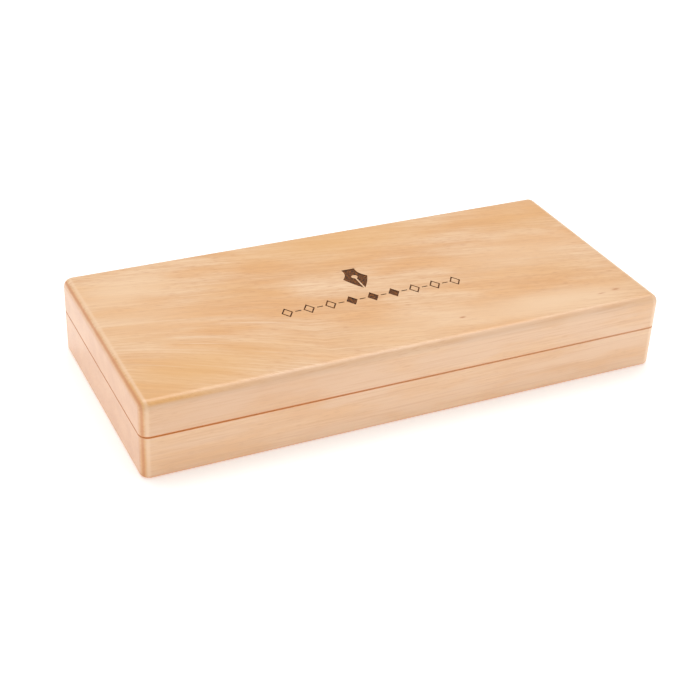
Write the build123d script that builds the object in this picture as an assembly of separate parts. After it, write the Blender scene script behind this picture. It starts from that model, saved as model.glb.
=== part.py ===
"""Hinged wooden case for two fountain pens.

Frame: millimetres, +Z up, X along the case, front face towards -Y, hinges at the back (+Y).
The origin is at the middle of the base's underside. The case is modelled closed.
"""

from build123d import *
from math import radians, tan
import os

# ---- case ----
CASE_LENGTH = 190.0
CASE_WIDTH = 87.0
BASE_HEIGHT = 15.5
LID_HEIGHT = 12.3
END_WALL = 8.0
SIDE_WALL = 8.0
BASE_FLOOR = 3.5
LID_TOP = 3.5
POCKET_CORNER_RADIUS = 5.0
UPRIGHT_EDGE_RADIUS = 3.2
TOP_EDGE_RADIUS = 3.0
BOTTOM_EDGE_RADIUS = 1.0
RIM_CHAMFER = 0.28

# ---- hinges: stop hinges let into both rims, with the pin on the line of the back face ----
HINGE_INSET = 28.0
HINGE_LENGTH = 22.0
LEAF_WIDTH = 6.2
LEAF_THICKNESS = 1.2
LEAF_GAP = 0.1
KNUCKLE_RADIUS = 1.8
KNUCKLE_COUNT = 5
KNUCKLE_GAP = 0.15
KNUCKLE_CLEARANCE = 0.25
HEEL_HEIGHT = 4.2
PIN_RADIUS = 0.8
PIN_FIXED_CLEARANCE = 0.02
PIN_RUNNING_CLEARANCE = 0.06
PIN_HEAD_RADIUS = 1.2
PIN_HEAD_LENGTH = 0.5
PIN_HEAD_ROUNDING = 0.3
OPENING_ANGLE = 95.0
STOP_GAP_ANGLE = 0.3
MORTISE_CLEARANCE = 0.05

# ---- hinge screws ----
SCREW_PITCH = 13.2
SCREW_BACK_DISTANCE = 3.9
SCREW_HEAD_RADIUS = 1.4
SCREW_SHANK_RADIUS = 0.65
SCREW_LENGTH = 6.5
SCREW_SLOT_WIDTH = 0.4
SCREW_SLOT_DEPTH = 0.3

# ---- magnets ----
MAGNET_RADIUS = 2.5
MAGNET_THICKNESS = 2.0
MAGNET_RECESS = 0.1
MAGNET_HOLE_CLEARANCE = 0.05
MAGNET_INSET = 45.0
MAGNET_CHAMFER = 0.15

# ---- tray lining ----
LINING_CLEARANCE = 0.25
CARD_THICKNESS = 1.0
TRAY_DROP = 1.0
VELVET_THICKNESS = 0.6
TROUGH_PITCH = 32.0
TROUGH_LENGTH = 156.0
TROUGH_RADIUS = 9.0
TROUGH_DEPTH = 7.2
SCOOP_LENGTH = 30.0
SCOOP_SIDE_REACH = 13.0
SCOOP_DEPTH = 7.6
SCOOP_CORNER_RADIUS = 4.0

# ---- lid pad ----
PAD_THICKNESS = 3.0

# ---- burnt mark on the lid ----
MARK_DEPTH = 0.25
NIB_CENTRE_Y = 5.8
NIB_LENGTH = 14.5
NIB_SHOULDER_WIDTH = 9.4
NIB_TAIL_WIDTH = 5.0
NIB_SLIT_WIDTH = 0.55
BREATHER_RADIUS = 1.15
RULE_CENTRE_Y = -7.8
RULE_LENGTH = 72.0
RULE_LINE = 0.5
LOZENGE_COUNT = 9
LOZENGE_WIDTH = 4.2
LOZENGE_HEIGHT = 6.2
LOZENGE_GAP = 0.8
SOLID_LOZENGES = 3

CASE_HEIGHT = BASE_HEIGHT + LID_HEIGHT
BACK = CASE_WIDTH / 2
HINGE_X = CASE_LENGTH / 2 - HINGE_INSET
MAGNET_X = CASE_LENGTH / 2 - MAGNET_INSET
MAGNET_Y = -CASE_WIDTH / 2 + SIDE_WALL / 2
POCKET_LENGTH = CASE_LENGTH - 2 * END_WALL
POCKET_WIDTH = CASE_WIDTH - 2 * SIDE_WALL
TRAY_TOP = BASE_HEIGHT - TRAY_DROP
PAD_BOTTOM = CASE_HEIGHT - LID_TOP - PAD_THICKNESS
KNUCKLE_SPAN = HINGE_LENGTH / KNUCKLE_COUNT
UP = 1
DOWN = -1


def block(length, width, low, high, corner):
    """A box between two heights, with its upright edges rounded."""
    solid = Pos(0, 0, (low + high) / 2) * Box(length, width, high - low)
    return fillet(solid.edges().filter_by(Axis.Z), corner)


def x_rod(radius, x_low, x_high, y, z):
    """A round bar along X."""
    middle = Pos((x_low + x_high) / 2, y, z)
    return middle * Rot(0, 90, 0) * Cylinder(radius, x_high - x_low)


def hinge_places():
    """The two hinges' names and the middle of each."""
    return {"left": -HINGE_X, "right": HINGE_X}


# ---- hinge ----


def leaf_outline():
    """One leaf's section in Y and Z, above the parting plane: the plate and the heel behind it."""
    stop = radians(OPENING_ANGLE / 2 + STOP_GAP_ANGLE)
    low = LEAF_GAP / 2
    front = BACK - LEAF_WIDTH
    heel_back = BACK + KNUCKLE_RADIUS
    thick = low + LEAF_THICKNESS
    return [
        (front, BASE_HEIGHT + low),
        (BACK, BASE_HEIGHT + low),
        (heel_back, BASE_HEIGHT + low + KNUCKLE_RADIUS * tan(stop)),
        (heel_back, BASE_HEIGHT + HEEL_HEIGHT),
        (BACK, BASE_HEIGHT + HEEL_HEIGHT),
        (BACK, BASE_HEIGHT + thick),
        (front, BASE_HEIGHT + thick),
    ]


def extrude_x(points, x_low, x_high):
    """A solid with this section in Y and Z between two places along X."""
    face = make_face(Polyline([(x_low, y, z) for y, z in points], close=True))
    return extrude(face, amount=x_high - x_low, dir=(1, 0, 0))


def knuckle_ranges(x, own, shrink):
    """The stretches of the barrel that are the base leaf's, or the lid leaf's.

    Each is shrunk at both ends, apart from the barrel's own two ends.
    """
    low, high = x - HINGE_LENGTH / 2, x + HINGE_LENGTH / 2
    ranges = []
    for n in range(0 if own else 1, KNUCKLE_COUNT, 2):
        start = low + n * KNUCKLE_SPAN + (shrink if n > 0 else 0)
        end = low + (n + 1) * KNUCKLE_SPAN - (shrink if n < KNUCKLE_COUNT - 1 else 0)
        ranges.append((start, end))
    return ranges


def screw_spots(x):
    """Where the two screws of a leaf stand, along X and Y."""
    y = BACK - SCREW_BACK_DISTANCE
    return [(x - SCREW_PITCH / 2, y), (x + SCREW_PITCH / 2, y)]


def countersink(x, y, side):
    """The cone of a screw head, wide at the leaf's inner face."""
    drop = SCREW_HEAD_RADIUS - SCREW_SHANK_RADIUS
    plane = BASE_HEIGHT + side * (LEAF_GAP / 2)
    cone = Cone(SCREW_SHANK_RADIUS, SCREW_HEAD_RADIUS, drop)
    if side == UP:
        cone = Rot(180, 0, 0) * cone
    return Pos(x, y, plane + side * drop / 2) * cone


def make_leaf(x, side):
    """A hinge leaf above (lid) or below (base) the parting plane."""
    points = leaf_outline()
    if side == DOWN:
        points = [(y, 2 * BASE_HEIGHT - z) for y, z in points]
    low, high = x - HINGE_LENGTH / 2, x + HINGE_LENGTH / 2
    leaf = extrude_x(points, low, high)
    own = side == DOWN
    inset = KNUCKLE_GAP / 2
    for start, end in knuckle_ranges(x, own, inset):
        leaf += x_rod(KNUCKLE_RADIUS, start, end, BACK, BASE_HEIGHT)
    for start, end in knuckle_ranges(x, not own, -inset):
        room = KNUCKLE_RADIUS + KNUCKLE_CLEARANCE
        leaf -= x_rod(room, start, end, BACK, BASE_HEIGHT)
    fit = PIN_FIXED_CLEARANCE if own else PIN_RUNNING_CLEARANCE
    leaf -= x_rod(PIN_RADIUS + fit, low - 1, high + 1, BACK, BASE_HEIGHT)
    for sx, sy in screw_spots(x):
        leaf -= countersink(sx, sy, side)
        leaf -= Pos(sx, sy, BASE_HEIGHT) * Cylinder(SCREW_SHANK_RADIUS, 4 * LEAF_THICKNESS)
    return leaf


def make_pin(x):
    """The hinge pin, with a domed head at each end of the barrel."""
    low, high = x - HINGE_LENGTH / 2, x + HINGE_LENGTH / 2
    pin = x_rod(PIN_RADIUS, low, high, BACK, BASE_HEIGHT)
    for face, way in ((low, -1), (high, 1)):
        outer = face + way * PIN_HEAD_LENGTH
        head = x_rod(PIN_HEAD_RADIUS, min(face, outer), max(face, outer), BACK, BASE_HEIGHT)
        rim = head.edges().filter_by(GeomType.CIRCLE).sort_by(Axis.X)
        pin += fillet(rim[-1] if way > 0 else rim[0], PIN_HEAD_ROUNDING)
    return pin


def make_screws(x, side):
    """A leaf's two slotted countersunk screws, as separate solids in one group."""
    screws = []
    plane = BASE_HEIGHT + side * (LEAF_GAP / 2)
    for sx, sy in screw_spots(x):
        drop = SCREW_HEAD_RADIUS - SCREW_SHANK_RADIUS
        shank_length = SCREW_LENGTH - drop
        shank_middle = plane + side * (drop + shank_length / 2)
        screw = countersink(sx, sy, side)
        screw += Pos(sx, sy, shank_middle) * Cylinder(SCREW_SHANK_RADIUS, shank_length)
        slot = Box(3 * SCREW_HEAD_RADIUS, SCREW_SLOT_WIDTH, 2 * SCREW_SLOT_DEPTH)
        screws.append(screw - Pos(sx, sy, plane) * slot)
    return Compound(screws)


def hinge_room(x, side):
    """What the hinge needs cut out of a rim: the leaf's mortise, the barrel's relief and pilots."""
    half = HINGE_LENGTH / 2 + MORTISE_CLEARANCE
    depth = LEAF_GAP / 2 + LEAF_THICKNESS
    front = BACK - LEAF_WIDTH - MORTISE_CLEARANCE
    middle_y = (front + BACK + KNUCKLE_RADIUS) / 2
    plane = BASE_HEIGHT + side * depth / 2
    mortise = Pos(x, middle_y, plane) * Box(2 * half, BACK + KNUCKLE_RADIUS - front, depth)
    barrel_half = HINGE_LENGTH / 2 + PIN_HEAD_LENGTH + MORTISE_CLEARANCE
    room = KNUCKLE_RADIUS + KNUCKLE_CLEARANCE
    cut = mortise + x_rod(room, x - barrel_half, x + barrel_half, BACK, BASE_HEIGHT)
    for sx, sy in screw_spots(x):
        middle = BASE_HEIGHT + side * (LEAF_GAP + SCREW_LENGTH) / 2
        cut += Pos(sx, sy, middle) * Cylinder(SCREW_SHANK_RADIUS, LEAF_GAP + SCREW_LENGTH)
    return cut


# ---- magnets ----


def magnet_hole(x, side):
    """The blind hole for a magnet in a front rim."""
    depth = MAGNET_RECESS + MAGNET_THICKNESS
    middle = BASE_HEIGHT + side * depth / 2
    return Pos(x, MAGNET_Y, middle) * Cylinder(MAGNET_RADIUS + MAGNET_HOLE_CLEARANCE, depth)


def make_magnet(x, side):
    """A disc magnet, set just below the rim."""
    middle = BASE_HEIGHT + side * (MAGNET_RECESS + MAGNET_THICKNESS / 2)
    disc = Pos(x, MAGNET_Y, middle) * Cylinder(MAGNET_RADIUS, MAGNET_THICKNESS)
    return chamfer(disc.edges().filter_by(GeomType.CIRCLE), MAGNET_CHAMFER)


# ---- wooden shells ----


def make_base_shell():
    """The lower half: a solid block with a routed pocket, open at the parting plane."""
    shell = block(CASE_LENGTH, CASE_WIDTH, 0, BASE_HEIGHT, UPRIGHT_EDGE_RADIUS)
    shell = fillet(shell.faces().sort_by(Axis.Z)[0].edges(), BOTTOM_EDGE_RADIUS)
    shell = chamfer(shell.faces().sort_by(Axis.Z)[-1].edges(), RIM_CHAMFER)
    shell -= block(POCKET_LENGTH, POCKET_WIDTH, BASE_FLOOR, CASE_HEIGHT, POCKET_CORNER_RADIUS)
    for x in hinge_places().values():
        shell -= hinge_room(x, DOWN)
    for x in (-MAGNET_X, MAGNET_X):
        shell -= magnet_hole(x, DOWN)
    return shell


def make_lid_shell():
    """The upper half, with its top edges rounded over and the mark burnt into its top."""
    shell = block(CASE_LENGTH, CASE_WIDTH, BASE_HEIGHT, CASE_HEIGHT, UPRIGHT_EDGE_RADIUS)
    shell = fillet(shell.faces().sort_by(Axis.Z)[-1].edges(), TOP_EDGE_RADIUS)
    shell = chamfer(shell.faces().sort_by(Axis.Z)[0].edges(), RIM_CHAMFER)
    ceiling = CASE_HEIGHT - LID_TOP
    shell -= block(POCKET_LENGTH, POCKET_WIDTH, 0, ceiling, POCKET_CORNER_RADIUS)
    for x in hinge_places().values():
        shell -= hinge_room(x, UP)
    for x in (-MAGNET_X, MAGNET_X):
        shell -= magnet_hole(x, UP)
    return shell - burnt_mark()


# ---- burnt mark ----


def nib_outline():
    """A pen nib seen from above, point towards the front edge of the lid."""
    tip = NIB_CENTRE_Y - NIB_LENGTH / 2
    tail = NIB_CENTRE_Y + NIB_LENGTH / 2
    shoulder_y = NIB_CENTRE_Y + NIB_LENGTH * 0.06
    shoulder = NIB_SHOULDER_WIDTH / 2
    tail_half = NIB_TAIL_WIDTH / 2
    waist = (tail_half + 0.2, tail - NIB_LENGTH * 0.24)
    right = Spline([(0, tip), (shoulder * 0.62, tip + NIB_LENGTH * 0.3), (shoulder, shoulder_y)])
    neck = Spline([(shoulder, shoulder_y), waist, (tail_half, tail)])
    left, left_neck = right.mirror(Plane.YZ), neck.mirror(Plane.YZ)
    end = Line((tail_half, tail), (-tail_half, tail))
    return make_face([right, neck, end, left_neck, left])


def nib_mark():
    """The burnt nib, with its slit and breather hole left as bare wood."""
    tip = NIB_CENTRE_Y - NIB_LENGTH / 2
    hole_y = NIB_CENTRE_Y + NIB_LENGTH * 0.1
    slit = Pos(0, (tip + hole_y) / 2) * Rectangle(NIB_SLIT_WIDTH, hole_y - tip)
    return nib_outline() - slit - Pos(0, hole_y) * Circle(BREATHER_RADIUS)


def lozenge(inset=0.0):
    """A standing lozenge, with its sides moved in by an inset."""
    across = LOZENGE_WIDTH / 2
    up = LOZENGE_HEIGHT / 2
    scale = 1 - inset * (across**2 + up**2) ** 0.5 / (across * up)
    corners = [(across * scale, 0), (0, up * scale), (-across * scale, 0), (0, -up * scale)]
    return make_face(Polyline(*corners, close=True))


def rule_mark():
    """A row of lozenges joined by short lines: solid in the middle, outlined at the ends."""
    faces = []
    middle = (LOZENGE_COUNT - 1) / 2
    step = RULE_LENGTH / LOZENGE_COUNT
    for n in range(LOZENGE_COUNT):
        place = Pos((n - middle) * step, RULE_CENTRE_Y)
        mark = place * lozenge()
        if abs(n - middle) > SOLID_LOZENGES / 2:
            mark -= place * lozenge(RULE_LINE)
        faces.append(mark)
    reach = LOZENGE_WIDTH / 2 + LOZENGE_GAP
    for n in range(LOZENGE_COUNT - 1):
        place = Pos((n + 0.5 - middle) * step, RULE_CENTRE_Y)
        faces.append(place * Rectangle(step - 2 * reach, RULE_LINE))
    return faces


def burnt_mark():
    """The shallow recess that the branding iron leaves."""
    floor = CASE_HEIGHT - MARK_DEPTH
    faces = [nib_mark(), *rule_mark()]
    cuts = [extrude(Pos(0, 0, floor) * face, amount=2 * MARK_DEPTH) for face in faces]
    return cuts[0].fuse(*cuts[1:])


# ---- linings ----


def pen_cavities(grow=0.0):
    """The troughs for two pens and the finger scoop across them."""
    radius = TROUGH_RADIUS + grow
    centre_z = TRAY_TOP - TROUGH_DEPTH + TROUGH_RADIUS
    straight = TROUGH_LENGTH / 2 - TROUGH_RADIUS
    cuts = []
    for side in (UP, DOWN):
        y = side * TROUGH_PITCH / 2
        trough = x_rod(radius, -straight, straight, y, centre_z)
        for x in (-straight, straight):
            trough += Pos(x, y, centre_z) * Sphere(radius)
        cuts.append(trough)
    reach = TROUGH_PITCH + 2 * (SCOOP_SIDE_REACH + grow)
    floor = TRAY_TOP - SCOOP_DEPTH - grow
    scoop = Pos(0, 0, (floor + CASE_HEIGHT) / 2) * Box(
        SCOOP_LENGTH + 2 * grow, reach, CASE_HEIGHT - floor
    )
    sides = scoop.edges().filter_by(Axis.Z) + scoop.faces().sort_by(Axis.Z)[0].edges()
    cuts.append(fillet(sides, SCOOP_CORNER_RADIUS + grow))
    return cuts


def lining_block(low, high):
    """A block that fills the pocket, a little clear of its walls."""
    length = POCKET_LENGTH - 2 * LINING_CLEARANCE
    width = POCKET_WIDTH - 2 * LINING_CLEARANCE
    return block(length, width, low, high, POCKET_CORNER_RADIUS - LINING_CLEARANCE)


def make_tray():
    """The tray's card, shaped foam and velvet cover."""
    card_top = BASE_FLOOR + CARD_THICKNESS
    card = lining_block(BASE_FLOOR, card_top)
    foam = lining_block(card_top, TRAY_TOP - VELVET_THICKNESS)
    for cut in pen_cavities(VELVET_THICKNESS):
        foam -= cut
    velvet = lining_block(card_top, TRAY_TOP)
    for cut in pen_cavities():
        velvet -= cut
    return card, foam, velvet - foam


def make_pad():
    """The lid pad's card, wadding and velvet cover."""
    ceiling = CASE_HEIGHT - LID_TOP
    card_low = ceiling - CARD_THICKNESS
    card = lining_block(card_low, ceiling)
    inset = 2 * (LINING_CLEARANCE + VELVET_THICKNESS)
    corner = POCKET_CORNER_RADIUS - LINING_CLEARANCE - VELVET_THICKNESS
    low = PAD_BOTTOM + VELVET_THICKNESS
    wadding = block(POCKET_LENGTH - inset, POCKET_WIDTH - inset, low, card_low, corner)
    velvet = lining_block(PAD_BOTTOM, card_low) - wadding
    return card, wadding, velvet


# ---- the whole case ----


def build():
    """Every piece, by name."""
    pieces = {"base_shell": make_base_shell(), "lid_shell": make_lid_shell()}
    pieces["tray_card"], pieces["tray_foam"], pieces["tray_velvet"] = make_tray()
    pieces["lid_card"], pieces["lid_wadding"], pieces["lid_velvet"] = make_pad()
    for name, x in hinge_places().items():
        pieces[f"{name}_hinge_base_leaf"] = make_leaf(x, DOWN)
        pieces[f"{name}_hinge_lid_leaf"] = make_leaf(x, UP)
        pieces[f"{name}_hinge_pin"] = make_pin(x)
        pieces[f"{name}_hinge_base_screws"] = make_screws(x, DOWN)
        pieces[f"{name}_hinge_lid_screws"] = make_screws(x, UP)
    for name, x in (("left", -MAGNET_X), ("right", MAGNET_X)):
        pieces[f"{name}_base_magnet"] = make_magnet(x, DOWN)
        pieces[f"{name}_lid_magnet"] = make_magnet(x, UP)
    return pieces


os.makedirs("parts", exist_ok=True)
for node, solid in build().items():
    export_step(solid, f"parts/{node}.step")
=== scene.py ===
# %% [markdown]
# # A wooden case for two fountain pens
#
# The case is two blocks of pale alder, each routed out inside, rounded over outside and finished
# with a satin clear lacquer. Two brass stop hinges join them at the back, disc magnets hold the
# lid shut, and the inside is lined with velvet over shaped foam.
#
# The rigid pieces come ready made from the CAD frame. What is left to do here is what a finisher
# and an upholsterer do: grain, lacquer, brass, velvet, and the light to see them by.

import math

import bmesh
import bpy
from mathutils import Matrix, Vector


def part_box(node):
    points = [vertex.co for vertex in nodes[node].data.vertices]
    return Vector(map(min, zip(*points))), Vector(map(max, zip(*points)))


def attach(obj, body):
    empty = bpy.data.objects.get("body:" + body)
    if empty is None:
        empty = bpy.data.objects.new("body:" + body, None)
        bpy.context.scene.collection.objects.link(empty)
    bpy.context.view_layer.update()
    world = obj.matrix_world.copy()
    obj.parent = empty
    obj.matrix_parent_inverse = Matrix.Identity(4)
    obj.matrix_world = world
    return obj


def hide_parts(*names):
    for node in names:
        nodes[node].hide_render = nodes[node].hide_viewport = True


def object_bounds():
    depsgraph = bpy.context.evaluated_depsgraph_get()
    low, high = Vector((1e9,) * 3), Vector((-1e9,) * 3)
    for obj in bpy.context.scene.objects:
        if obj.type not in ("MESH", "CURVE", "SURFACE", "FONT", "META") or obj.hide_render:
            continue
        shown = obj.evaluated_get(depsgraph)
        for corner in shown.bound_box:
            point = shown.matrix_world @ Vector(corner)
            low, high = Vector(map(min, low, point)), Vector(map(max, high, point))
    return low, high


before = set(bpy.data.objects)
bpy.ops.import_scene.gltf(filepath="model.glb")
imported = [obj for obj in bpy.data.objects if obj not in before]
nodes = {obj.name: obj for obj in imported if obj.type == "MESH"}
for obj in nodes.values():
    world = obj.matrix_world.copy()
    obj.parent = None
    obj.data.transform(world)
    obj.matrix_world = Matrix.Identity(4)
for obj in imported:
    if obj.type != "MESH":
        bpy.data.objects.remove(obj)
cad_box = [list(corner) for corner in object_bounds()]
MM = 0.001

low, high = (Vector(corner) for corner in cad_box)
print("case", [round(side / MM, 2) for side in high - low], "mm,", len(nodes), "CAD nodes")

# %% [markdown]
# ## The sizes that the looks follow
#
# Every pattern below is laid out in millimetres, so the few places that it needs are read from the
# frame once: the length of the wood, the parting plane and the top of the lid.

# %% Sizes from the frame
base_low, base_high = (Vector(corner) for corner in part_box("base_shell"))
LENGTH = (base_high.x - base_low.x) / MM
PARTING = base_high.z / MM
TOP = Vector(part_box("lid_shell")[1]).z / MM
print(f"wood {LENGTH:.1f} mm long, {TOP:.1f} mm high, parting plane at {PARTING:.1f} mm")

# %% [markdown]
# ## Camera
#
# The case is seen from its front left corner and from above, with a longish lens, so its far end
# is only a little smaller than the near one. The camera is also rolled by a few degrees.

# %% Camera
AZIMUTH = math.radians(-26.69)
ELEVATION = math.radians(31.28)
ROLL = math.radians(2.91)
DISTANCE = 0.4835
LENS = 73.04
SENSOR = 36.0
NEAREST = 0.01
AIM = Vector((-0.01226, -0.01659, 0.0139))

away = Vector((
    math.sin(AZIMUTH) * math.cos(ELEVATION),
    -math.cos(AZIMUTH) * math.cos(ELEVATION),
    math.sin(ELEVATION),
))
camera = bpy.data.objects.new("camera", bpy.data.cameras.new("camera"))
camera.data.lens = LENS
camera.data.sensor_width = SENSOR
camera.data.clip_start = NEAREST
turn = away.to_track_quat("Z", "Y").to_matrix().to_4x4() @ Matrix.Rotation(ROLL, 4, "Z")
camera.matrix_world = Matrix.Translation(AIM + away * DISTANCE) @ turn
bpy.context.scene.collection.objects.link(camera)
bpy.context.scene.camera = camera
print("camera", [round(part, 3) for part in camera.location])

# %% [markdown]
# ## Light
#
# Pale lacquered wood is best shown in a white tent. The large soft box hangs overhead and a little
# behind, so it shows as a thin bright line where each top edge begins to turn over. Two low strips
# light the front and the left end. The gap between low and high is darker, and the lower half of
# each rounded edge mirrors that gap. Along the rounded edges, the wood's colour also holds a
# painted highlight and painted shade on the same lines.

# %% Soft boxes
def soft_box(name, place, width, height, power):
    """A rectangular soft light at a place in metres, turned towards the case."""
    light = bpy.data.lights.new(name, "AREA")
    light.shape = "RECTANGLE"
    light.size = width
    light.size_y = height
    light.energy = power
    lamp = bpy.data.objects.new(name, light)
    lamp.location = place
    facing = Vector(place) - AIM
    lamp.rotation_euler = facing.to_track_quat("Z", "Y").to_euler()
    bpy.context.scene.collection.objects.link(lamp)


soft_box("overhead_box", (0.10, 0.40, 1.1), width=1.5, height=0.8, power=11.0)
soft_box("left_box", (-1.3, -0.1, 0.30), width=1.4, height=0.45, power=2.3)
soft_box("front_box", (1.00, -1.18, 0.25), width=1.8, height=0.9, power=7.1)
print("soft boxes", len(bpy.data.lights))

# %% The tent
TENT_GLOW = 0.50

world = bpy.data.worlds.new("tent")
bpy.context.scene.world = world
world.use_nodes = True
tent = world.node_tree.nodes["Background"].inputs
tent["Color"].default_value = (1.0, 1.0, 1.0, 1.0)
tent["Strength"].default_value = TENT_GLOW
bpy.context.scene.view_settings.view_transform = "Standard"
print("tent glows at", TENT_GLOW)

# %% [markdown]
# ## Three small helpers
#
# Colours are written the way a paint chart gives them, as sRGB hex, and one function turns them
# into the linear values that a shader works in. The second adds a node with its settings, and
# links or sets its inputs. Most nodes have one output in use, so it hands that back, ready to be
# linked. The third starts a material.

# %% Helpers
def linear(colour, alpha=1.0):
    """Linear RGBA from an sRGB hex string."""
    parts = [int(colour[i:i + 2], 16) / 255 for i in (1, 3, 5)]
    curve = [c / 12.92 if c <= 0.04045 else ((c + 0.055) / 1.055) ** 2.4 for c in parts]
    return (*curve, alpha)


def add(tree, kind, inputs=None, **settings):
    """Adds a shader node, whose inputs are values or links, and gives its first live output."""
    made = tree.nodes.new("ShaderNode" + kind)
    for key, value in settings.items():
        setattr(made, key, value)
    for key, value in (inputs or {}).items():
        if isinstance(value, bpy.types.NodeSocket):
            tree.links.new(value, made.inputs[key])
        else:
            made.inputs[key].default_value = value
    return next(output for output in made.outputs if output.enabled)


def new_material(name):
    """A node material, its tree and its Principled shader's inputs."""
    material = bpy.data.materials.new(name)
    material.use_nodes = True
    return material, material.node_tree, material.node_tree.nodes["Principled BSDF"].inputs


print("mid grey is", [round(c, 3) for c in linear("#808080")])

# %% [markdown]
# ## Floor
#
# The floor is matt white paper. It glows a little, as paper in a white tent does, so that it
# reaches pure white. It lies a hair below the case, because two faces in one plane would flicker.

# %% Floor
FLOOR_SIZE = 40.0
FLOOR_GAP = 0.0001
FLOOR_GLOW = 0.35
PAPER = "#F7F7F5"
PAPER_ROUGHNESS = 0.9

bm = bmesh.new()
bmesh.ops.create_grid(bm, x_segments=1, y_segments=1, size=FLOOR_SIZE / 2)
bmesh.ops.translate(bm, verts=bm.verts, vec=(0, 0, -FLOOR_GAP))
floor_mesh = bpy.data.meshes.new("paper_floor")
bm.to_mesh(floor_mesh)
bm.free()
floor = bpy.data.objects.new("paper_floor", floor_mesh)
bpy.context.scene.collection.objects.link(floor)
paper, _, paper_inputs = new_material("matt_white_paper")
paper_inputs["Base Color"].default_value = linear(PAPER)
paper_inputs["Roughness"].default_value = PAPER_ROUGHNESS
paper_inputs["Emission Color"].default_value = linear("#FFFFFF")
paper_inputs["Emission Strength"].default_value = FLOOR_GLOW
floor_mesh.materials.append(paper)
print("floor", FLOOR_SIZE, "m across")

# %% [markdown]
# ## Noise along the grain
#
# Wood, brushed brass and velvet are all drawn with one kind of pattern: noise whose features have
# a real width in millimetres and are drawn out along X by some factor. Fibres, tufts and scratches
# differ only in those numbers, so each pattern is a small dictionary with a name. A second
# function lays one colour over another, with any number of shares multiplied together.
#
# A node's inputs go by name or by number. A Map Range's 1 to 4 are the range that comes in and the
# range that goes out, and a colour Mix's 0, 6 and 7 are its factor and its two colours.

# %% Pattern helpers
SMOOTH = {"interpolation_type": "SMOOTHSTEP"}
NOISE_ROUGHNESS = 0.55
SHIFT_BY_AXIS = (1.0, 1.7, 0.6)


def in_millimetres(tree):
    """The object's own coordinates, in millimetres."""
    source = add(tree, "TexCoord").node.outputs["Object"]
    return add(tree, "Mapping", {"Vector": source, "Scale": [1 / MM] * 3})


def noise(tree, place, width, stretch=1.0, detail=2.0, shift=0.0):
    """Noise with features this wide in millimetres, drawn out along X."""
    grain = add(tree, "Mapping", {
        "Vector": place,
        "Location": [shift * share for share in SHIFT_BY_AXIS],
        "Scale": (1 / (width * stretch), 1 / width, 1 / width),
    })
    return add(tree, "TexNoise", {
        "Vector": grain, "Scale": 1.0, "Detail": detail, "Roughness": NOISE_ROUGHNESS,
    })


def figure(tree, place, low, high, least=0.0, most=1.0, **pattern):
    """Noise spread out, so that it goes from least at low to most at high."""
    return add(tree, "MapRange", {
        "Value": noise(tree, place, **pattern), 1: low, 2: high, 3: least, 4: most,
    }, **SMOOTH)


def lay_over(tree, colour, tint, *shares):
    """Lays a hex colour or a linked one over another, by the product of the shares."""
    amount = shares[0]
    for share in shares[1:]:
        amount = add(tree, "Math", {0: amount, 1: share}, operation="MULTIPLY")
    second = linear(tint) if isinstance(tint, str) else tint
    first = linear(colour) if isinstance(colour, str) else colour
    return add(tree, "Mix", {0: amount, 6: first, 7: second}, data_type="RGBA")


print("pattern helpers ready")

# %% [markdown]
# ## Lacquered alder
#
# Alder is a diffuse-porous wood: its pores are too small to see, its growth rings are faint, and
# what the eye gets is fine lengthwise streaks over soft blotches. The same block shows long lines
# on its top and front and a fine mottle on its sawn ends.
#
# A solid texture gives all of that at once. The rings are cylinders about a pith line that runs
# along X below the block, and the fibres are noise drawn out along X, so each face cuts through
# them as a saw would. Real fibres and pores are a few hundredths of a millimetre wide. They are
# drawn 0.3 to 0.8 mm wide here, because otherwise they would not show at all.

# %% Growth rings
RING_SPACING = 4.2
RING_WANDER = dict(width=30.0, stretch=4.0, detail=1.0)
RING_WANDER_DEPTH = 26.0
RING_RIPPLE = dict(width=7.0, stretch=8.0, detail=2.0, shift=40.0)
RING_RIPPLE_DEPTH = 2.2
RING_SHARPNESS = 4.0


def growth_rings(tree, place, pith_y, pith_z):
    """0 to 1 across each ring, rising slowly and falling sharply, as late wood does."""
    axes = add(tree, "SeparateXYZ", {"Vector": place}).node.outputs
    across = add(tree, "Math", {0: axes["Y"], 1: pith_y}, operation="SUBTRACT")
    above = add(tree, "Math", {0: axes["Z"], 1: pith_z}, operation="SUBTRACT")
    squared = add(tree, "Math", {0: across, 1: across}, operation="MULTIPLY")
    squared = add(tree, "Math", {0: above, 1: above, 2: squared}, operation="MULTIPLY_ADD")
    radius = add(tree, "Math", {0: squared}, operation="SQRT")
    for pattern, depth in ((RING_WANDER, RING_WANDER_DEPTH), (RING_RIPPLE, RING_RIPPLE_DEPTH)):
        bend = noise(tree, place, **pattern)
        radius = add(tree, "Math", {0: bend, 1: depth, 2: radius}, operation="MULTIPLY_ADD")
    turns = add(tree, "Math", {0: radius, 1: RING_SPACING}, operation="DIVIDE")
    within = add(tree, "Math", {0: turns}, operation="FRACT")
    return add(tree, "Math", {0: within, 1: RING_SHARPNESS}, operation="POWER")


print("rings every", RING_SPACING, "mm")

# %% Long grain
HEART = "#E2AA6E"
PALE = "#EDC79E"
STREAK = "#D0965C"
LATE_WOOD = "#C68A58"
HONEY = "#E0A964"
BLOTCHES = dict(width=12.0, stretch=3.0, low=0.3, high=0.7)
HONEY_BANDS = dict(width=22.0, stretch=2.2, detail=1.0, shift=21.0, low=0.45, high=0.75)
STREAKS = dict(width=1.3, stretch=16.0, detail=3.0, shift=7.0, low=0.42, high=0.8)
FIBRES = dict(width=0.8, stretch=26.0, shift=13.0, low=0.38, high=0.66)
PORES = dict(width=0.30, stretch=11.0, detail=0.0, shift=33.0, low=0.56, high=0.78)
HONEY_SHARE = 0.35
STREAK_SHARE = 0.22
RING_SHARE = 0.13
FIBRE_SHARE = 0.42
PORE_SHARE = 0.55


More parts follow.
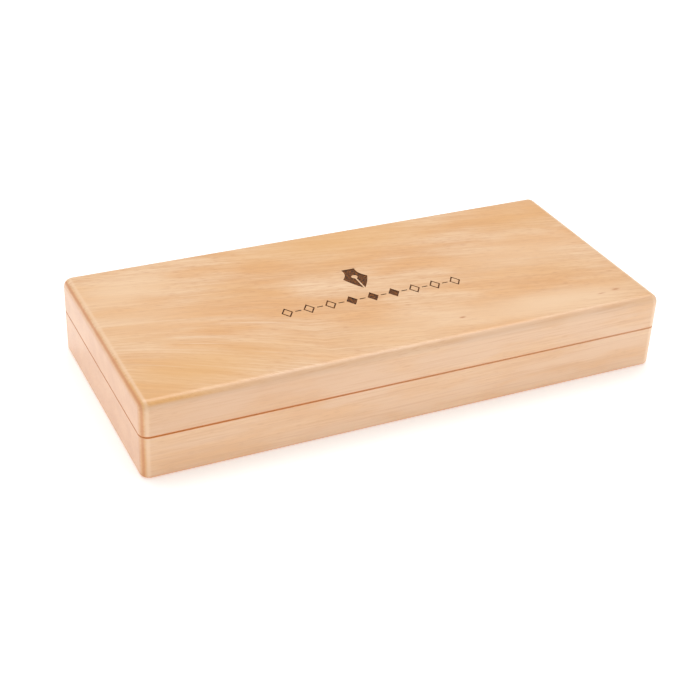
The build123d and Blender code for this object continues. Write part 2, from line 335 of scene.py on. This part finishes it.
def long_grain(tree, place, pith_y, pith_z):
    """The colour of a face along the grain, and the amount of its fibres."""
    fibres = figure(tree, place, **FIBRES)
    colour = lay_over(tree, HEART, PALE, figure(tree, place, **BLOTCHES))
    layers = (
        (figure(tree, place, **HONEY_BANDS), HONEY_SHARE, HONEY),
        (figure(tree, place, **STREAKS), STREAK_SHARE, STREAK),
        (growth_rings(tree, place, pith_y, pith_z), RING_SHARE, LATE_WOOD),
        (fibres, FIBRE_SHARE, STREAK),
        (figure(tree, place, **PORES), PORE_SHARE, LATE_WOOD),
    )
    for amount, share, tint in layers:
        colour = lay_over(tree, colour, tint, amount, share)
    return colour, fibres


print("fibres drawn", FIBRES["width"], "mm wide")

# %% [markdown]
# ### Where the figure changes
#
# No board is even. Here the grain crosses the case at a slope and fans out at the front left, as
# it does near a knot. Some wide patches are warmer, some paler, some show fine pale rays, and
# there are three dark flecks. A patch is a soft ellipse: its middle, its two half lengths and its
# strength.

# %% Slope, fan and patches
FAN_START = 28.0
FAN_BACK = 18.0
FAN_FRONT = -26.0
RAY = "#EFCFAD"
FLECK = "#B4682A"
RAYS = dict(width=1.2, stretch=40.0, detail=1.0, shift=55.0, low=0.62, high=0.80)
HONEY_PATCHES = (
    (-72, -30, 46, 20, 0.7), (-84, -44, 40, 6, 0.3), (5, 34, 66, 18, 0.7), (78, 30, 34, 20, 0.35),
)
PALE_PATCHES = (
    (18, -30, 60, 16, 0.5), (62, -34, 44, 12, 0.8), (-80, 5, 40, 22, 0.4),
    (62, 2, 44, 22, 0.45), (-80, 26, 30, 14, 0.7),
)
RAY_PATCHES = ((-66, -10, 56, 34, 0.6), (-10, -30, 60, 18, 0.4), (50, 0, 60, 26, 0.3))
FLECKS = ((22, -31.5, 1.9, 0.7, 0.9), (82.5, -33.4, 2.4, 0.9, 0.8), (76, -34.2, 2.6, 0.6, 0.6))


def along_grain(tree, place, slope, fan):
    """Coordinates whose X follows the grain, which slopes and fans out at the front left."""
    axes = add(tree, "SeparateXYZ", {"Vector": place}).node.outputs
    to_left = add(tree, "Math", {0: axes["X"], 1: FAN_START}, operation="ADD")
    to_left = add(tree, "Math", {0: to_left, 1: 0.0}, operation="MINIMUM")
    to_front = add(tree, "MapRange", {
        "Value": axes["Y"], 1: FAN_BACK, 2: FAN_FRONT, 3: 0.0, 4: fan,
    }, **SMOOTH)
    across = add(tree, "Math", {0: axes["X"], 1: slope, 2: axes["Y"]}, operation="MULTIPLY_ADD")
    across = add(tree, "Math", {0: to_left, 1: to_front, 2: across}, operation="MULTIPLY_ADD")
    return add(tree, "CombineXYZ", {"X": axes["X"], "Y": across, "Z": axes["Z"]})


def patches(tree, place, ellipses):
    """The amount of some soft ellipses, added up."""
    total = 0.0
    for x, y, length, width, strength in ellipses:
        local = add(tree, "Mapping", {
            "Vector": place, "Location": (-x / length, -y / width, 0.0),
            "Scale": (1 / length, 1 / width, 0.0),
        })
        reach = add(tree, "VectorMath", {0: local}, operation="LENGTH")
        fall = add(tree, "MapRange", {"Value": reach, 3: strength, 4: 0.0}, **SMOOTH)
        total = add(tree, "Math", {0: fall, 1: total}, operation="ADD")
    return total


def patchy_grain(tree, in_case, in_block, pith_y, pith_z):
    """Long grain with its patches, rays and flecks."""
    colour, fibres = long_grain(tree, in_block, pith_y, pith_z)
    colour = lay_over(tree, colour, HONEY, patches(tree, in_case, HONEY_PATCHES))
    colour = lay_over(tree, colour, PALE, patches(tree, in_case, PALE_PATCHES))
    ray_lines = figure(tree, in_block, **RAYS)
    colour = lay_over(tree, colour, RAY, ray_lines, patches(tree, in_case, RAY_PATCHES))
    return lay_over(tree, colour, FLECK, patches(tree, in_case, FLECKS)), fibres


print(len(FLECKS), "flecks")

# %% [markdown]
# ### The front and the back
#
# The long sides of the blocks are cut nearly along the fibres, so they show straight fine veins.
# They are painted paler and greyer than the top, partly as edge grain looks and partly as painted
# light on the sides. The direction that the surface faces tells them apart: the normal's Y part is
# 1 there. The rounded edge above the front takes the pale colour too, as a painted highlight,
# except near the left corner, where it keeps the warmer figure of the top. The front of the lid is
# also painted darker towards its left end, as painted shade.

# %% Front and back
EDGE_GRAIN_AND_PAINTED_LIGHT = "#E4BE9C"
VEIN_AND_SHADE = "#D2A27C"
FRONT_FACING = (0.7, 1.0)
HIGHLIGHT_FACING = (0.15, 0.6)
LEFT_CORNER = (-85.0, -40.0)
DRIFT = dict(width=6.0, stretch=4.0, shift=71.0, low=0.36, high=0.64, least=0.50, most=0.92)
VEINS = dict(width=0.55, stretch=45.0, detail=3.0, shift=61.0, low=0.45, high=0.72)
VEIN_SHARE = 0.42
PAINTED_SHADE_END = 60.0


def front_figure(tree, colour, in_case, straight, facing_y, pith, painted_left_shade):
    """Lays the figure, painted light, highlight and shade of the front and back over a colour."""
    x = add(tree, "SeparateXYZ", {"Vector": in_case}).node.outputs["X"]
    forward = add(tree, "Math", {0: facing_y}, operation="ABSOLUTE")
    # rounded is the rounded edge above the front, where the pale colour is a painted highlight;
    # corner fades it out towards the left end.
    flat, rounded, corner = (
        add(tree, "MapRange", {"Value": value, 1: start, 2: stop}, **SMOOTH)
        for value, (start, stop) in (
            (forward, FRONT_FACING), (forward, HIGHLIGHT_FACING), (x, LEFT_CORNER),
        )
    )
    rounded = add(tree, "Math", {0: rounded, 1: corner}, operation="MULTIPLY")
    edge = add(tree, "Math", {0: flat, 1: rounded}, operation="MAXIMUM")
    # Painted shade: the front is laid darker, in the vein colour, towards its left end.
    deeper = add(tree, "MapRange", {
        "Value": x, 1: -LENGTH / 2, 2: PAINTED_SHADE_END, 3: painted_left_shade, 4: 0.0,
    }, **SMOOTH)

    colour = lay_over(tree, colour, long_grain(tree, straight, *pith)[0], edge)
    # The sides are laid paler, partly edge grain and partly painted light; on the rounded edge this
    # is a painted highlight.
    colour = lay_over(tree, colour, EDGE_GRAIN_AND_PAINTED_LIGHT, edge, figure(tree, in_case, **DRIFT))
    colour = lay_over(tree, colour, VEIN_AND_SHADE, edge, VEIN_SHARE, figure(tree, in_case, **VEINS))
    return lay_over(tree, colour, VEIN_AND_SHADE, edge, deeper)


print("front veins", VEINS["width"], "mm wide")

# %% [markdown]
# ### The cut ends
#
# Where a face is cut square across the fibres, the wood is painted paler and pinker. Where the
# router rounds the ends over, it cuts the fibres at a slant: they drink lacquer and stay a deeper
# orange, and that band is painted shade as well. Beside it, a paler line where the rounding begins
# is a painted highlight. All of it follows the normal's X part, which is 1 on the square end.

# %% Ends
END_FACE = "#E1AD81"
END_MOTTLE = "#D2966A"
PAINTED_EDGE_HIGHLIGHT = "#F0CBA6"
SLANT_CUT_AND_SHADE = "#CA7A44"
END_SPECKS = dict(width=0.9, detail=3.0, shift=3.0, low=0.4, high=0.7)
END_CLOUDS = dict(width=9.0, detail=1.0, shift=3.0, low=0.3, high=0.7)
SPECK_SHARE = 0.32
CLOUD_SHARE = 0.4
ARC_SHARE = 0.16
END_FACING = (0.85, 0.99)
PAINTED_HIGHLIGHT_BAND = (0.05, 0.25, 0.35, 0.6)
PAINTED_HIGHLIGHT_SHARE = 0.55
SLANT_BAND = (0.56, 0.74, 0.80, 0.95)
SLANT_SHARE = 0.65


def band(tree, value, rise_from, rise_to, fall_from, fall_to):
    """1 between a smooth rise and a smooth fall."""
    rise = add(tree, "MapRange", {"Value": value, 1: rise_from, 2: rise_to}, **SMOOTH)
    fall = add(tree, "MapRange", {
        "Value": value, 1: fall_from, 2: fall_to, 3: 1.0, 4: 0.0,
    }, **SMOOTH)
    return add(tree, "Math", {0: rise, 1: fall}, operation="MULTIPLY")


def end_figure(tree, colour, in_block, straight, endwise, pith):
    """Lays the sawn ends, and the painted highlight and shade of their rounded edges, over a
    colour.
    """
    clouds = figure(tree, in_block, **END_CLOUDS)
    clouds = add(tree, "Math", {0: clouds, 1: CLOUD_SHARE}, operation="MULTIPLY")
    specks = figure(tree, in_block, **END_SPECKS)
    mottle = add(tree, "Math", {0: specks, 1: SPECK_SHARE, 2: clouds}, operation="MULTIPLY_ADD")
    sawn = lay_over(tree, END_FACE, END_MOTTLE, mottle)
    sawn = lay_over(tree, sawn, LATE_WOOD, growth_rings(tree, straight, *pith), ARC_SHARE)

    square = add(tree, "MapRange", {"Value": endwise, 1: END_FACING[0], 2: END_FACING[1]}, **SMOOTH)
    colour = lay_over(tree, colour, sawn, square)
    # A pale painted highlight where the rounding begins.
    colour = lay_over(tree, colour, PAINTED_EDGE_HIGHLIGHT, band(tree, endwise, *PAINTED_HIGHLIGHT_BAND), PAINTED_HIGHLIGHT_SHARE)
    # A deeper orange band, partly lacquer soaked into slanted fibres and partly painted shade.
    return lay_over(tree, colour, SLANT_CUT_AND_SHADE, band(tree, endwise, *SLANT_BAND), SLANT_SHARE)


print("ends cut square and rounded")

# %% [markdown]
# ### The foot and the parting line
#
# The lowest millimetre of the base is painted a deeper orange, darker towards the bottom. The
# small chamfers along the parting line get painted shade, a deeper orange for the groove between
# the halves. The rims themselves lie flat between the two halves and keep the colour of the wood,
# which the normal's Z part tells.

# %% Foot and parting line
SEAM_SHADE = "#CC7624"
FOOT = dict(low=0.2, high=1.4, share=0.45)
SEAM_HALF_WIDTH = (0.22, 0.52)
RIM_FACING = (0.85, 0.97)
SEAM_END_FACING = (0.4, 0.7)
SEAM_END_SHARE = 0.4
SEAM_LEFT_SHARE = 0.95
SEAM_RIGHT_SHARE = 0.45


def foot_tone_and_seam_shade(tree, colour, in_case, facing_z, endwise):
    """Lays the deeper tone of the foot, and the painted shade of the parting line, over a colour.
    """
    axes = add(tree, "SeparateXYZ", {"Vector": in_case}).node.outputs
    foot = add(tree, "MapRange", {
        "Value": axes["Z"], 1: FOOT["low"], 2: FOOT["high"], 3: FOOT["share"], 4: 0.0,
    }, **SMOOTH)
    colour = lay_over(tree, colour, SLANT_CUT_AND_SHADE, foot)

    # The parting line's chamfers get painted shade in a deeper orange, strongest at the left.
    from_parting = add(tree, "Math", {0: axes["Z"], 1: PARTING}, operation="SUBTRACT")
    from_parting = add(tree, "Math", {0: from_parting}, operation="ABSOLUTE")
    level = add(tree, "Math", {0: facing_z}, operation="ABSOLUTE")
    shares = [
        add(tree, "MapRange", {"Value": value, 1: start, 2: stop, 3: 1.0, 4: least}, **SMOOTH)
        for value, (start, stop), least in (
            (from_parting, SEAM_HALF_WIDTH, 0.0), (level, RIM_FACING, 0.0),
            (endwise, SEAM_END_FACING, SEAM_END_SHARE),
        )
    ]
    shares.append(add(tree, "MapRange", {
        "Value": axes["X"], 1: -LENGTH / 2, 2: LENGTH / 2,
        3: SEAM_LEFT_SHARE, 4: SEAM_RIGHT_SHARE,
    }))
    return lay_over(tree, colour, SEAM_SHADE, *shares)


print("parting line drawn", 2 * SEAM_HALF_WIDTH[1], "mm wide")

# %% [markdown]
# ### The finished wood
#
# Each half comes from a block of its own, so the texture is moved by an offset before it is cut.
# The lacquer is a clear coat over the wood. It is uniform, and only the fibres telegraph through
# it as a faint roughness and relief.

# %% Wood material
LACQUER_WEIGHT = 0.7
LACQUER_ROUGHNESS = 0.28
WOOD_ROUGHNESS = (0.40, 0.50)
FIBRE_RELIEF = {"Strength": 0.05, "Distance": 0.0001}


def lacquered_alder(name, offset, pith, slope, fan=0.0, painted_left_shade=0.0):
    """Satin lacquered alder, from a block of its own; also gives its colour, to draw on."""
    material, tree, inputs = new_material(name)
    in_case = in_millimetres(tree)
    sloping = along_grain(tree, in_case, slope, fan)
    in_block, straight = (
        add(tree, "VectorMath", {0: place, 1: offset}, operation="ADD")
        for place in (sloping, in_case)
    )
    normal = add(tree, "TexCoord").node.outputs["Normal"]
    facing = add(tree, "SeparateXYZ", {"Vector": normal}).node.outputs
    endwise = add(tree, "Math", {0: facing["X"]}, operation="ABSOLUTE")

    colour, fibres = patchy_grain(tree, in_case, in_block, *pith)
    colour = front_figure(tree, colour, in_case, straight, facing["Y"], pith, painted_left_shade)
    colour = end_figure(tree, colour, in_block, straight, endwise, pith)
    colour = foot_tone_and_seam_shade(tree, colour, in_case, facing["Z"], endwise)

    tree.links.new(colour, inputs["Base Color"])
    sheen = add(tree, "MapRange", {
        "Value": fibres, 3: WOOD_ROUGHNESS[0], 4: WOOD_ROUGHNESS[1],
    }, **SMOOTH)
    tree.links.new(sheen, inputs["Roughness"])
    relief = add(tree, "Bump", {"Height": fibres, **FIBRE_RELIEF})
    tree.links.new(relief, inputs["Normal"])
    inputs["Coat Weight"].default_value = LACQUER_WEIGHT
    inputs["Coat Roughness"].default_value = LACQUER_ROUGHNESS
    return material, colour


base_wood, _ = lacquered_alder(
    "lacquered_alder_base", offset=(140.0, 3.0, 9.0), pith=(-30.0, -60.0), slope=0.12,
)
# The lid's front is painted darker towards its left end, as painted shade.
lid_wood, lid_colour = lacquered_alder(
    "lacquered_alder_lid", offset=(-60.0, -11.0, 4.0), pith=(12.0, -75.0), slope=0.20,
    fan=0.34, painted_left_shade=0.36,
)
print("wood nodes", len(base_wood.node_tree.nodes), "and", len(lid_wood.node_tree.nodes))

# %% [markdown]
# ### The burnt mark
#
# The mark is burnt in with a hot iron, which sinks a quarter of a millimetre and chars what it
# touches. The recess is real geometry in the lid, so the char is simply everything in the middle
# of the lid that lies below the polished top. The lacquer doesn't cover it.

# %% Burnt mark
CHAR = "#361A00"
SCORCH = "#8A4C00"
SOOT = dict(width=0.5, stretch=1.5, shift=5.0, low=0.4, high=0.65)
MARK_HALF_LENGTH = 40.0
MARK_HALF_WIDTH = 18.0
MARK_REACH = 1.0
CHAR_EDGE = (0.08, 0.01)
CHAR_ROUGHNESS = (0.45, 0.85)

tree = lid_wood.node_tree
inputs = tree.nodes["Principled BSDF"].inputs
in_case = in_millimetres(tree)
axes = add(tree, "SeparateXYZ", {"Vector": in_case}).node.outputs
below_top = add(tree, "MapRange", {
    "Value": axes["Z"], 1: TOP - CHAR_EDGE[0], 2: TOP - CHAR_EDGE[1], 3: 1.0, 4: 0.0,
}, **SMOOTH)
from_x, from_y = (
    add(tree, "Math", {0: axes[name]}, operation="ABSOLUTE") for name in ("X", "Y")
)
inside_x, inside_y, near_top = (
    add(tree, "Math", {0: value, 1: limit}, operation=test)
    for test, value, limit in (
        ("LESS_THAN", from_x, MARK_HALF_LENGTH), ("LESS_THAN", from_y, MARK_HALF_WIDTH),
        ("GREATER_THAN", axes["Z"], TOP - MARK_REACH),
    )
)
within = add(tree, "Math", {0: inside_x, 1: inside_y}, operation="MULTIPLY")
sunk = add(tree, "Math", {0: below_top, 1: near_top}, operation="MULTIPLY")
char = add(tree, "Math", {0: within, 1: sunk}, operation="MULTIPLY")

burnt = lay_over(tree, CHAR, SCORCH, figure(tree, in_case, **SOOT))
tree.links.new(lay_over(tree, lid_colour, burnt, char), inputs["Base Color"])
for socket, (bare, covered) in (
    ("Coat Weight", (LACQUER_WEIGHT, 0.0)), ("Roughness", CHAR_ROUGHNESS),
):
    tree.links.new(add(tree, "MapRange", {"Value": char, 3: bare, 4: covered}), inputs[socket])
print("mark lies below", round(TOP, 2), "mm")

# %% Put the wood on the shells
def finish_node(name, material):
    """Gives a CAD node one material."""
    data = nodes[name].data
    data.materials.clear()
    data.materials.append(material)


finish_node("base_shell", base_wood)
finish_node("lid_shell", lid_wood)
print("wood on both shells")

# %% [markdown]
# ## Metal
#
# The hinges are sheet brass, brushed along their length and lacquered so that they stay bright.
# The screws are turned brass, the pins drawn steel and the magnets bright nickel plate. Each is a
# Principled metal, told apart by colour, by roughness and by the width of its fine scratches.
# Real scratches are about a hundredth of a millimetre wide. They are drawn 0.06 to 0.3 mm wide
# here, so that they show.

# %% Metal finishes
BRASS = "#D2AC6C"
BRASS_WORN = "#C6A062"
TURNED_BRASS = "#EBCB8C"
STEEL = "#B9B7B2"
STEEL_DULL = "#9C9A95"
NICKEL = "#B4B1AA"
NICKEL_DULL = "#9E9B93"
FILM = dict(width=3.0, stretch=1.5, shift=17.0, low=0.4, high=0.75)
SCRATCH_DETAIL = dict(detail=3.0, low=0.3, high=0.7)
SCRATCH_RELIEF = {"Strength": 0.15, "Distance": 0.00003}


def scratched_metal(name, bright, dull, width, stretch, roughness):
    """A metal with fine scratches drawn out along X, and a faint film."""
    material, tree, inputs = new_material(name)
    place = in_millimetres(tree)
    scratch = figure(tree, place, width=width, stretch=stretch, **SCRATCH_DETAIL)
    colour = lay_over(tree, bright, dull, figure(tree, place, **FILM))
    tree.links.new(colour, inputs["Base Color"])
    shine = add(tree, "MapRange", {"Value": scratch, 3: roughness[0], 4: roughness[1]}, **SMOOTH)
    tree.links.new(shine, inputs["Roughness"])
    relief = add(tree, "Bump", {"Height": scratch, **SCRATCH_RELIEF})
    tree.links.new(relief, inputs["Normal"])
    inputs["Metallic"].default_value = 1.0
    return material


brass = scratched_metal(
    "brushed_brass", BRASS, BRASS_WORN, width=0.12, stretch=30.0, roughness=(0.24, 0.42))
turned_brass = scratched_metal(
    "turned_brass", TURNED_BRASS, BRASS, width=0.08, stretch=3.0, roughness=(0.18, 0.34))
steel = scratched_metal(
    "drawn_steel", STEEL, STEEL_DULL, width=0.06, stretch=20.0, roughness=(0.22, 0.36))
nickel = scratched_metal(
    "nickel_plate", NICKEL, NICKEL_DULL, width=0.30, stretch=1.0, roughness=(0.26, 0.40))
print("four metals made")

# %% Put the metals on the fittings
FITTINGS = {
    "hinge_base_leaf": brass, "hinge_lid_leaf": brass, "hinge_pin": steel,
    "hinge_base_screws": turned_brass, "hinge_lid_screws": turned_brass,
    "base_magnet": nickel, "lid_magnet": nickel,
}
for side in ("left", "right"):
    for fitting, metal in FITTINGS.items():
        finish_node(f"{side}_{fitting}", metal)
print("metal on", 2 * len(FITTINGS), "nodes")

# %% [markdown]
# ## Velvet and board
#
# Velvet looks dark from above and light along its edges, because the pile is short fibres that
# stand up and catch light sideways. The sheen of the Principled shader does that, and three noises
# give the rest: the pile, the tufts, and the patches where it has been brushed a different way.
# Those brushed patches are painted lighter, a painted sheen where the pile lies another way.
# A pile fibre is a few hundredths of a millimetre thick, so the pile is drawn coarser to show.

# %% Velvet
VELVET_DARK = "#15110F"
VELVET_PILE_AND_SHEEN = "#40372F"
VELVET_SHEEN = "#C4B6A6"
PILE = dict(width=0.45, detail=1.0, low=0.32, high=0.68)
TUFTS = dict(width=1.3, stretch=1.4, detail=1.0, shift=5.0, low=0.35, high=0.65)
NAP = dict(width=11.0, stretch=1.6, shift=9.0, low=0.35, high=0.7)
PILE_SHARE = 0.40
NAP_SHARE = 0.30
TUFT_SHARE = 0.15
PILE_RELIEF = {"Strength": 0.4, "Distance": 0.0001}
VELVET_FINISH = {
    "Roughness": 0.95, "Specular IOR Level": 0.2,
    "Sheen Weight": 0.8, "Sheen Roughness": 0.4, "Sheen Tint": linear(VELVET_SHEEN),
}


def velvet(name):
    """Short-pile cotton velvet, brushed in patches that are painted lighter as painted sheen."""
    material, tree, inputs = new_material(name)
    place = in_millimetres(tree)
    pile = figure(tree, place, **PILE)
    amount = add(tree, "Math", {0: pile, 1: PILE_SHARE}, operation="MULTIPLY")
    # The brushed patches (NAP) lighten the colour as painted sheen; pile and tufts vary its tone.
    for pattern, share in ((NAP, NAP_SHARE), (TUFTS, TUFT_SHARE)):
        more = figure(tree, place, **pattern)
        amount = add(tree, "Math", {0: more, 1: share, 2: amount}, operation="MULTIPLY_ADD")
    tree.links.new(lay_over(tree, VELVET_DARK, VELVET_PILE_AND_SHEEN, amount), inputs["Base Color"])
    relief = add(tree, "Bump", {"Height": pile, **PILE_RELIEF})
    tree.links.new(relief, inputs["Normal"])
    for socket, value in VELVET_FINISH.items():
        inputs[socket].default_value = value
    return material


tray_pile = velvet("cotton_velvet_tray")
lid_pile = velvet("cotton_velvet_lid")
print("two velvets made")

# %% [markdown]
# Under the velvet lies grey board, pressed from waste paper, so it is speckled and dull. Only its
# edges could ever be seen.

# %% Board
BOARD = "#8C7A62"
BOARD_FLECK = "#6E5E4A"
SPECKLE = dict(width=0.4, detail=3.0)
SPECKLE_RANGE = (0.4, 0.65)
SPECKLE_RELIEF = {"Strength": 0.3, "Distance": 0.0002}
BOARD_ROUGHNESS = 0.85

board, tree, inputs = new_material("grey_board")
speckle = noise(tree, in_millimetres(tree), **SPECKLE)
spots = add(tree, "MapRange", {
    "Value": speckle, 1: SPECKLE_RANGE[0], 2: SPECKLE_RANGE[1],
}, **SMOOTH)
tree.links.new(lay_over(tree, BOARD, BOARD_FLECK, spots), inputs["Base Color"])
relief = add(tree, "Bump", {"Height": speckle, **SPECKLE_RELIEF})
tree.links.new(relief, inputs["Normal"])
inputs["Roughness"].default_value = BOARD_ROUGHNESS
for name in ("tray_card", "lid_card"):
    finish_node(name, board)
print("board on both cards")

# %% [markdown]
# ## The tray
#
# The tray is foam with two pen troughs and a finger scoop cut into it, and velvet glued down over
# every edge. The frame gives its exact size with sharp edges. Velvet over foam can't hold a sharp
# edge, so the two solids are joined, remeshed to an even skin, and relaxed until the edges round
# over by about a millimetre.

# %% Soft copies of frame solids
WELD = 0.000001
RELAX_STEP = 0.5


def apply_modifiers(piece):
    """Bakes a piece's modifiers into its mesh."""
    graph = bpy.context.evaluated_depsgraph_get()
    baked = bpy.data.meshes.new_from_object(piece.evaluated_get(graph))
    piece.modifiers.clear()
    piece.data = baked


def soft_copy(name, sources, voxel):
    """One even, closed skin around frame solids that touch each other."""
    bm = bmesh.new()
    for source in sources:
        bm.from_mesh(nodes[source].data)
    bmesh.ops.remove_doubles(bm, verts=bm.verts, dist=WELD)
    mesh = bpy.data.meshes.new(name)
    bm.to_mesh(mesh)
    bm.free()
    piece = bpy.data.objects.new(name, mesh)
    bpy.context.scene.collection.objects.link(piece)
    remesh = piece.modifiers.new("skin", "REMESH")
    remesh.mode = "VOXEL"
    remesh.voxel_size = voxel
    apply_modifiers(piece)
    return piece


def relax(piece, rounds):
    """Smooths a mesh a number of times and shades it smooth."""
    bm = bmesh.new()
    bm.from_mesh(piece.data)
    for _ in range(rounds):
        bmesh.ops.smooth_vert(bm, verts=bm.verts, factor=RELAX_STEP,
                              use_axis_x=True, use_axis_y=True, use_axis_z=True)
    bm.to_mesh(piece.data)
    bm.free()
    piece.data.polygons.foreach_set("use_smooth", [True] * len(piece.data.polygons))


def cover(piece, material):
    """Gives a soft piece one material."""
    piece.data.materials.clear()
    piece.data.materials.append(material)


print("weld within", WELD / MM, "mm")

# %% Tray
TRAY_VOXEL = 0.0009
TRAY_ROUNDS = 7

tray = soft_copy("velvet_tray", ("tray_foam", "tray_velvet"), TRAY_VOXEL)
relax(tray, TRAY_ROUNDS)
cover(tray, tray_pile)
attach(tray, "base")
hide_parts("tray_foam", "tray_velvet")
print("tray", len(tray.data.polygons), "faces")

# %% [markdown]
# ## The lid pad
#
# The pad in the lid is a thin layer of wadding under velvet, glued to the board behind it and
# tucked down all round. A cloth simulation with air pressure and no gravity blows it up while its
# back and its border are pinned, so it crowns in the middle as a stuffed pad does. No point may
# move further than the pad really swells.

# %% Swelling
PAD_PRESSURE = 9.0
PAD_TENSION = 5.0
PAD_QUALITY = 3
PAD_FRAMES = 20
PAD_SWELL = 0.0022


def inflate(piece, pinned):
    """Swells a closed skin by a cloth simulation; pinned points stay and each move is capped."""
    start = [vertex.co.copy() for vertex in piece.data.vertices]
    piece.vertex_groups.new(name="glued").add(pinned, 1.0, "REPLACE")
    cloth = piece.modifiers.new("swell", "CLOTH")
    cloth.settings.vertex_group_mass = "glued"
    cloth.settings.tension_stiffness = PAD_TENSION
    cloth.settings.use_pressure = True
    cloth.settings.uniform_pressure_force = PAD_PRESSURE
    cloth.settings.effector_weights.gravity = 0.0
    cloth.settings.quality = PAD_QUALITY
    cloth.point_cache.frame_start = 1
    cloth.point_cache.frame_end = PAD_FRAMES
    scene = bpy.context.scene
    for number in range(1, PAD_FRAMES + 1):
        scene.frame_set(number)
    apply_modifiers(piece)
    scene.frame_set(1)
    for vertex, origin in zip(piece.data.vertices, start):
        move = vertex.co - origin
        if move.length > PAD_SWELL:
            move = move * (PAD_SWELL / move.length)
        vertex.co = origin + move


print("pad may swell", PAD_SWELL / MM, "mm")

# %% Lid pad
PAD_VOXEL = 0.0010
PAD_BORDER = 0.0012
PAD_BACKING = 0.0008
ROUNDS_BEFORE = 4
ROUNDS_AFTER = 2

pad = soft_copy("velvet_lid_pad", ("lid_wadding", "lid_velvet"), PAD_VOXEL)
relax(pad, ROUNDS_BEFORE)
pad_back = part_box("lid_card")[0][2]
pocket_low, pocket_high = (Vector(corner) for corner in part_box("lid_velvet"))
glued = [
    vertex.index for vertex in pad.data.vertices
    if abs(vertex.co.x) > pocket_high.x - PAD_BORDER
    or abs(vertex.co.y) > pocket_high.y - PAD_BORDER
    or vertex.co.z > pad_back - PAD_BACKING
]
inflate(pad, glued)
for vertex in pad.data.vertices:
    vertex.co.x = min(max(vertex.co.x, pocket_low.x), pocket_high.x)
    vertex.co.y = min(max(vertex.co.y, pocket_low.y), pocket_high.y)
    vertex.co.z = min(vertex.co.z, pad_back)
relax(pad, ROUNDS_AFTER)
cover(pad, lid_pile)
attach(pad, "lid")
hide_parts("lid_wadding", "lid_velvet")
print("lid pad", len(pad.data.polygons), "faces,", len(glued), "points glued")
